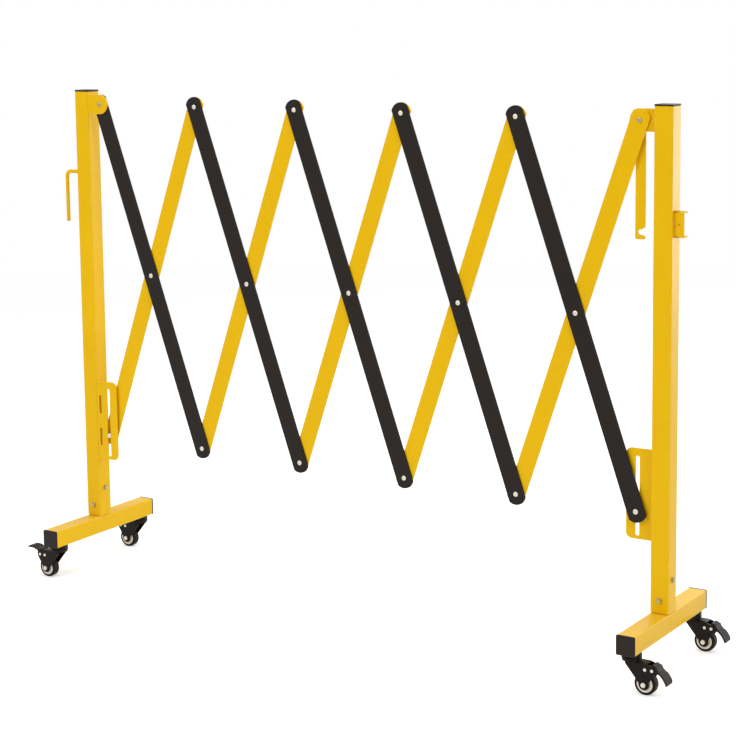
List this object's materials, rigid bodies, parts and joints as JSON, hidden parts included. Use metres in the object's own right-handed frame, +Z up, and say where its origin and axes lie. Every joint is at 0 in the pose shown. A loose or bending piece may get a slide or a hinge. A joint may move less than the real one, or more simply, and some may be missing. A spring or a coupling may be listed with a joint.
{
  "type": "safety barricade",
  "caption": "Expanding scissor-lattice safety barricade on braked swivel casters, with slotted end posts, a closing latch strap and a coupling hook and receiver.",
  "frame": {"origin": "on the floor under the middle of the whole barricade's bounding box, as it stands half opened", "axes": "+X along the lattice from the left post (with the hook) to the right post (with the receiver), +Y to the rear, the black bars facing -Y, +Z up"},
  "size_m": [1.4516, 0.31, 1.0033],
  "materials": {
    "yellow_paint": "safety yellow powder coat, satin",
    "black_paint": "black powder coat, satin",
    "black_plastic": "black moulded plastic, fine texture",
    "zinc_plate": "zinc plated steel, slightly dulled",
    "tyre_rubber": "black rubber tread",
    "hub_plastic": "cream moulded plastic",
    "pedal_plastic": "dark grey moulded plastic"
  },
  "bodies": {
    "left_frame": {"left_post": "yellow_paint", "left_base": "yellow_paint", "left_post_cap": "black_plastic", "left_base_cap_front": "black_plastic", "left_base_cap_rear": "black_plastic", "left_top_ear": "yellow_paint", "left_slot_bracket": "yellow_paint", "link_hook": "yellow_paint", "top_pin_left": "zinc_plate", "left_post_bolt_front": "zinc_plate", "left_post_bolt_side": "zinc_plate", "left_caster_front_stem": "zinc_plate", "left_caster_rear_stem": "zinc_plate"},
    "black_bar_1": {"black_bar_1": "black_paint"},
    "yellow_bar_1": {"yellow_bar_1": "yellow_paint", "slot_pin_left": "zinc_plate"},
    "black_bar_2": {"black_bar_2": "black_paint"},
    "yellow_bar_2": {"yellow_bar_2": "yellow_paint"},
    "black_bar_3": {"black_bar_3": "black_paint"},
    "yellow_bar_3": {"yellow_bar_3": "yellow_paint"},
    "black_bar_4": {"black_bar_4": "black_paint"},
    "yellow_bar_4": {"yellow_bar_4": "yellow_paint"},
    "black_bar_5": {"black_bar_5": "black_paint", "slot_pin_right": "zinc_plate"},
    "yellow_bar_5": {"yellow_bar_5": "yellow_paint"},
    "right_frame": {"right_post": "yellow_paint", "right_base": "yellow_paint", "right_post_cap": "black_plastic", "right_base_cap_front": "black_plastic", "right_base_cap_rear": "black_plastic", "right_top_ear": "yellow_paint", "right_slot_bracket": "yellow_paint", "link_receiver": "yellow_paint", "top_pin_right": "zinc_plate", "right_post_bolt_front": "zinc_plate", "right_post_bolt_side": "zinc_plate", "right_caster_front_stem": "zinc_plate", "right_caster_rear_stem": "zinc_plate"},
    "latch_strap": {"latch_strap": "yellow_paint"},
    "left_caster_front_swivel": {"left_caster_front_fork": "black_paint", "left_caster_front_axle": "zinc_plate"},
    "left_caster_front_wheel": {"left_caster_front_tyre": "tyre_rubber", "left_caster_front_hub": "hub_plastic"},
    "left_caster_front_brake": {"left_caster_front_pedal": "pedal_plastic"},
    "left_caster_rear_swivel": {"left_caster_rear_fork": "black_paint", "left_caster_rear_axle": "zinc_plate"},
    "left_caster_rear_wheel": {"left_caster_rear_tyre": "tyre_rubber", "left_caster_rear_hub": "hub_plastic"},
    "left_caster_rear_brake": {"left_caster_rear_pedal": "pedal_plastic"},
    "right_caster_front_swivel": {"right_caster_front_fork": "black_paint", "right_caster_front_axle": "zinc_plate"},
    "right_caster_front_wheel": {"right_caster_front_tyre": "tyre_rubber", "right_caster_front_hub": "hub_plastic"},
    "right_caster_front_brake": {"right_caster_front_pedal": "pedal_plastic"},
    "right_caster_rear_swivel": {"right_caster_rear_fork": "black_paint", "right_caster_rear_axle": "zinc_plate"},
    "right_caster_rear_wheel": {"right_caster_rear_tyre": "tyre_rubber", "right_caster_rear_hub": "hub_plastic"},
    "right_caster_rear_brake": {"right_caster_rear_pedal": "pedal_plastic"}
  },
  "joints": [
    {"name": "lattice_fold", "type": "hinge", "parent": "left_frame", "child": "black_bar_1", "pos_m": [-0.60072, 0, 0.97496], "axis": [0, -1, 0], "range_deg": [-16.19, 16.2]},
    {"name": "crossing_1", "type": "hinge", "parent": "black_bar_1", "child": "yellow_bar_1", "pos_m": [-0.48011, 0, 0.6294], "axis": [0, -1, 0], "range_deg": [-32.4, 32.4]},
    {"name": "foot_joint_1", "type": "hinge", "parent": "black_bar_1", "child": "yellow_bar_2", "pos_m": [-0.3595, 0, 0.28385], "axis": [0, -1, 0], "range_deg": [-32.4, 32.4]},
    {"name": "crossing_2", "type": "hinge", "parent": "yellow_bar_2", "child": "black_bar_2", "pos_m": [-0.2389, 0, 0.6294], "axis": [0, -1, 0], "range_deg": [-32.4, 32.4]},
    {"name": "top_joint_2", "type": "hinge", "parent": "yellow_bar_2", "child": "black_bar_3", "pos_m": [-0.11829, 0, 0.97496], "axis": [0, -1, 0], "range_deg": [-32.4, 32.4]},
    {"name": "crossing_3", "type": "hinge", "parent": "black_bar_3", "child": "yellow_bar_3", "pos_m": [0.00231, 0, 0.6294], "axis": [0, -1, 0], "range_deg": [-32.4, 32.4]},
    {"name": "foot_joint_3", "type": "hinge", "parent": "black_bar_3", "child": "yellow_bar_4", "pos_m": [0.12292, 0, 0.28385], "axis": [0, -1, 0], "range_deg": [-32.4, 32.4]},
    {"name": "crossing_4", "type": "hinge", "parent": "yellow_bar_4", "child": "black_bar_4", "pos_m": [0.24353, 0, 0.6294], "axis": [0, -1, 0], "range_deg": [-32.4, 32.4]},
    {"name": "top_joint_4", "type": "hinge", "parent": "yellow_bar_4", "child": "black_bar_5", "pos_m": [0.36413, 0, 0.97496], "axis": [0, -1, 0], "range_deg": [-32.4, 32.4]},
    {"name": "crossing_5", "type": "hinge", "parent": "black_bar_5", "child": "yellow_bar_5", "pos_m": [0.48474, 0, 0.6294], "axis": [0, -1, 0], "range_deg": [-32.4, 32.4]},
    {"name": "right_post_joint", "type": "hinge", "parent": "yellow_bar_5", "child": "right_frame", "pos_m": [0.60535, 0, 0.97496], "axis": [0, -1, 0], "range_deg": [-16.2, 16.2]},
    {"name": "latch_swing", "type": "hinge", "parent": "right_frame", "child": "latch_strap", "pos_m": [0.60535, 0, 0.97496], "axis": [0, 1, 0], "range_deg": [0, 100]},
    {"name": "left_caster_front_swivel", "type": "hinge", "parent": "left_frame", "child": "left_caster_front_swivel", "pos_m": [-0.64882, -0.128, 0.02], "axis": [0, 0, 1], "continuous": true},
    {"name": "left_caster_front_spin", "type": "hinge", "parent": "left_caster_front_swivel", "child": "left_caster_front_wheel", "pos_m": [-0.67682, -0.128, 0.02], "axis": [0, 1, 0], "continuous": true},
    {"name": "left_caster_front_brake", "type": "hinge", "parent": "left_caster_front_swivel", "child": "left_caster_front_brake", "pos_m": [-0.69182, -0.128, 0.047], "axis": [0, -1, 0], "range_deg": [0, 58]},
    {"name": "left_caster_rear_swivel", "type": "hinge", "parent": "left_frame", "child": "left_caster_rear_swivel", "pos_m": [-0.64882, 0.128, 0.02], "axis": [0, 0, 1], "continuous": true},
    {"name": "left_caster_rear_spin", "type": "hinge", "parent": "left_caster_rear_swivel", "child": "left_caster_rear_wheel", "pos_m": [-0.67682, 0.128, 0.02], "axis": [0, 1, 0], "continuous": true},
    {"name": "left_caster_rear_brake", "type": "hinge", "parent": "left_caster_rear_swivel", "child": "left_caster_rear_brake", "pos_m": [-0.69182, 0.128, 0.047], "axis": [0, -1, 0], "range_deg": [0, 58]},
    {"name": "right_caster_front_swivel", "type": "hinge", "parent": "right_frame", "child": "right_caster_front_swivel", "pos_m": [0.65345, -0.128, 0.02], "axis": [0, 0, 1], "continuous": true},
    {"name": "right_caster_front_spin", "type": "hinge", "parent": "right_caster_front_swivel", "child": "right_caster_front_wheel", "pos_m": [0.68145, -0.128, 0.02], "axis": [0, 1, 0], "continuous": true},
    {"name": "right_caster_front_brake", "type": "hinge", "parent": "right_caster_front_swivel", "child": "right_caster_front_brake", "pos_m": [0.69645, -0.128, 0.047], "axis": [0, 1, 0], "range_deg": [-58, 0]},
    {"name": "right_caster_rear_swivel", "type": "hinge", "parent": "right_frame", "child": "right_caster_rear_swivel", "pos_m": [0.65345, 0.128, 0.02], "axis": [0, 0, 1], "continuous": true},
    {"name": "right_caster_rear_spin", "type": "hinge", "parent": "right_caster_rear_swivel", "child": "right_caster_rear_wheel", "pos_m": [0.68145, 0.128, 0.02], "axis": [0, 1, 0], "continuous": true},
    {"name": "right_caster_rear_brake", "type": "hinge", "parent": "right_caster_rear_swivel", "child": "right_caster_rear_brake", "pos_m": [0.69645, 0.128, 0.047], "axis": [0, 1, 0], "range_deg": [-58, 0]}
  ],
  "couplings": [
    {"joint": "crossing_1", "follows": "lattice_fold", "ratio": -2},
    {"joint": "foot_joint_1", "follows": "lattice_fold", "ratio": -2},
    {"joint": "crossing_2", "follows": "lattice_fold", "ratio": 2},
    {"joint": "top_joint_2", "follows": "lattice_fold", "ratio": 2},
    {"joint": "crossing_3", "follows": "lattice_fold", "ratio": -2},
    {"joint": "foot_joint_3", "follows": "lattice_fold", "ratio": -2},
    {"joint": "crossing_4", "follows": "lattice_fold", "ratio": 2},
    {"joint": "top_joint_4", "follows": "lattice_fold", "ratio": 2},
    {"joint": "crossing_5", "follows": "lattice_fold", "ratio": -2},
    {"joint": "right_post_joint", "follows": "lattice_fold", "ratio": 1}
  ]
}
